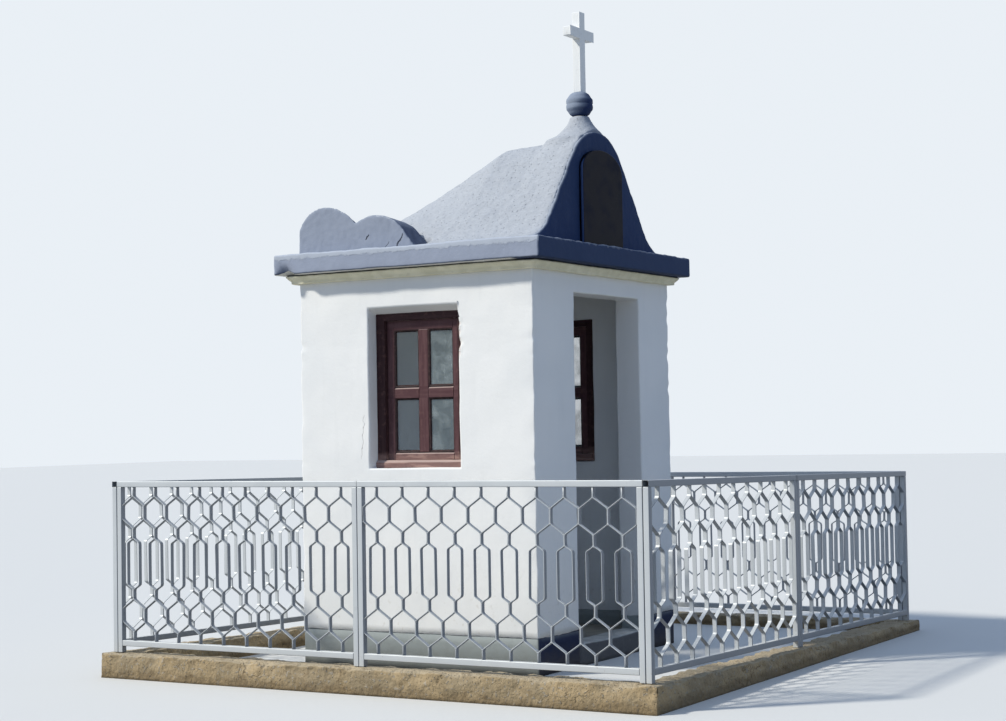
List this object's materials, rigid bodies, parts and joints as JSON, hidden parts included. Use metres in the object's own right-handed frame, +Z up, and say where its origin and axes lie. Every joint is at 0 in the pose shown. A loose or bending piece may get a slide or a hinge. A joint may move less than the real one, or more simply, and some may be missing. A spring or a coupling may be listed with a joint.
{
  "type": "wayside shrine",
  "caption": "Small rendered masonry wayside shrine with a bell gable, open doorway and windows, inside a lattice railing on a kerb.",
  "frame": {"origin": "middle of the underside of the railed plot, at the foot of the kerb", "axes": "+Z up; the doorway faces -Y; +X is to the right of someone who faces the doorway"},
  "size_m": [3.881, 3.851, 4.132],
  "materials": {
    "lime_render": "matt lime render",
    "plinth_paint": "rough grey-painted render",
    "sill_render": "worn render",
    "floor_cement": "cement screed",
    "window_wood": "worn red-brown paint",
    "window_glass": "dusty glass",
    "cornice_render": "cream-painted render",
    "slab_paint": "blue-grey painted render",
    "roof_cement": "trowelled cement",
    "gable_paint": "blue-grey painted render",
    "tablet_stone": "dark stone",
    "finial_stone": "dark grey cement",
    "cross_paint": "worn white paint",
    "parapet_render": "grey-blue cement render",
    "kerb_concrete": "rough concrete",
    "railing_paint": "silver-grey paint"
  },
  "bodies": {
    "root": {"plinth_left": "plinth_paint", "plinth_right": "plinth_paint", "plinth_back": "plinth_paint", "plinth_front_left": "plinth_paint", "plinth_front_right": "plinth_paint", "door_sill": "sill_render", "floor_slab": "floor_cement", "front_pier_left": "lime_render", "front_pier_right": "lime_render", "door_lintel": "lime_render", "left_wall": "lime_render", "right_wall": "lime_render", "back_wall": "lime_render", "left_window_frame": "window_wood", "left_window_sash": "window_wood", "left_window_panes": "window_glass", "left_window_sill": "window_wood", "right_window_frame": "window_wood", "right_window_sash": "window_wood", "right_window_panes": "window_glass", "right_window_sill": "window_wood", "cornice_front": "cornice_render", "cornice_back": "cornice_render", "cornice_left": "cornice_render", "cornice_right": "cornice_render", "roof_slab": "slab_paint", "roof_body": "roof_cement", "front_gable": "gable_paint", "gable_tablet": "tablet_stone", "finial_ball": "finial_stone", "cross": "cross_paint", "parapet_left": "parapet_render", "parapet_right": "parapet_render", "kerb_front": "kerb_concrete", "kerb_back": "kerb_concrete", "kerb_left": "kerb_concrete", "kerb_right": "kerb_concrete", "railing_front_1": "railing_paint", "railing_front_2": "railing_paint", "railing_back_1": "railing_paint", "railing_back_2": "railing_paint", "railing_left_1": "railing_paint", "railing_left_2": "railing_paint", "railing_right_1": "railing_paint", "railing_right_2": "railing_paint"}
  },
  "joints": []
}
